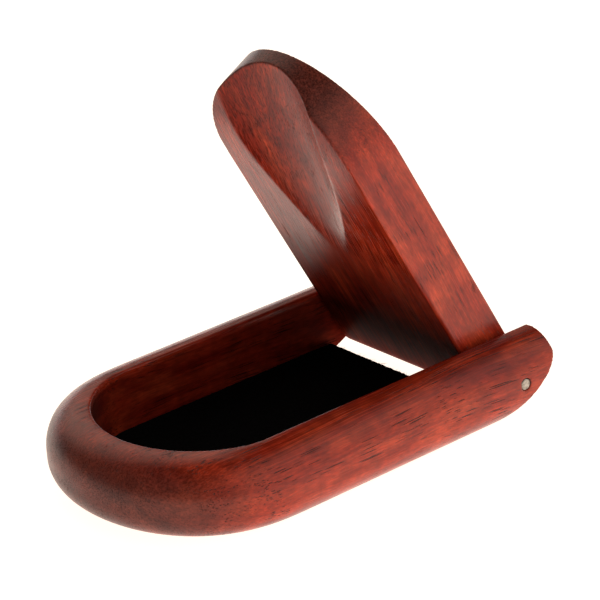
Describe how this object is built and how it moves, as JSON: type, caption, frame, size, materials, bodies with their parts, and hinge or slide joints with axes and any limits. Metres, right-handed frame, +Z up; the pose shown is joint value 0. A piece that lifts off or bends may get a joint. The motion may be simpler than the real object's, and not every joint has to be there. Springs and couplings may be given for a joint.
{
  "type": "folding pipe stand",
  "caption": "Pocket-sized wooden pipe stand: a U-shaped tray with a felt-lined pocket and a scooped rest that folds flat into it on a hinge pin.",
  "frame": {"origin": "centre of the tray's footprint, on the surface that it stands on", "axes": "+Z up, +X along the tray towards the hinge, Y across the tray along the hinge pin"},
  "size_m": [0.1, 0.063, 0.0823],
  "materials": {
    "tray_wood": "oiled and buffed red rosewood, satin, with dark open pores",
    "rest_wood": "oiled and buffed red rosewood, satin, with dark open pores",
    "felt": "short black felt, matt",
    "pin_steel": "cut and filed steel rod"
  },
  "bodies": {
    "stand": {"tray": "tray_wood", "felt_pad": "felt", "hinge_pin": "pin_steel"},
    "rest": {"swing_rest": "rest_wood"}
  },
  "joints": [
    {"name": "rest_hinge", "type": "hinge", "parent": "stand", "child": "rest", "pos_m": [0.0407, 0, 0.0082], "axis": [0, 1, 0], "range_deg": [-60.8, 59.2]}
  ]
}
